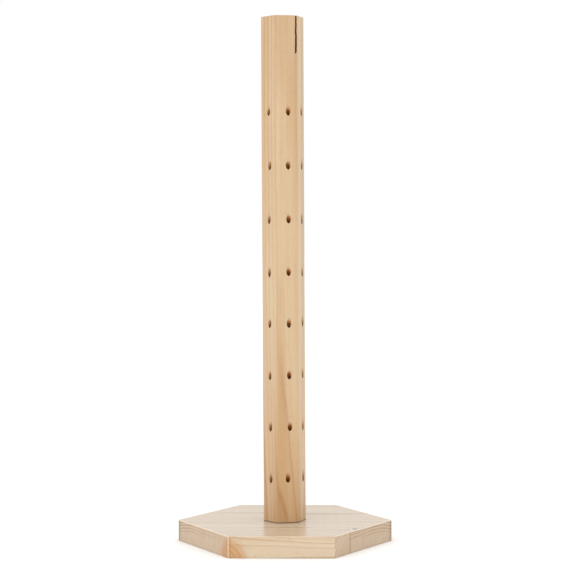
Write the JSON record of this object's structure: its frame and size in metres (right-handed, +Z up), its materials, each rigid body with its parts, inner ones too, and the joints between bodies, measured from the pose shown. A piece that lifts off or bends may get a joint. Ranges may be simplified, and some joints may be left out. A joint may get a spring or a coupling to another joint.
{
  "type": "peg post stand",
  "caption": "Tall hexagonal wooden post on a hexagonal base, with rows of small blind holes that slope inward and down, to hold thin sticks.",
  "frame": {"origin": "centre of the base's underside", "axes": "+Z up along the post; +X to a corner of the base, along the staves; -Y to the front edge of the base"},
  "size_m": [0.205, 0.176, 0.5],
  "materials": {
    "pine_post": "raw sanded pine, unfinished",
    "pine_base": "raw sanded pine, unfinished",
    "zinc_steel": "bright zinc plating"
  },
  "bodies": {
    "root": {"post": "pine_post", "base_stave_1": "pine_base", "base_stave_2": "pine_base", "base_stave_3": "pine_base", "base_stave_4": "pine_base", "base_stave_5": "pine_base", "centre_screw": "zinc_steel"}
  },
  "joints": []
}
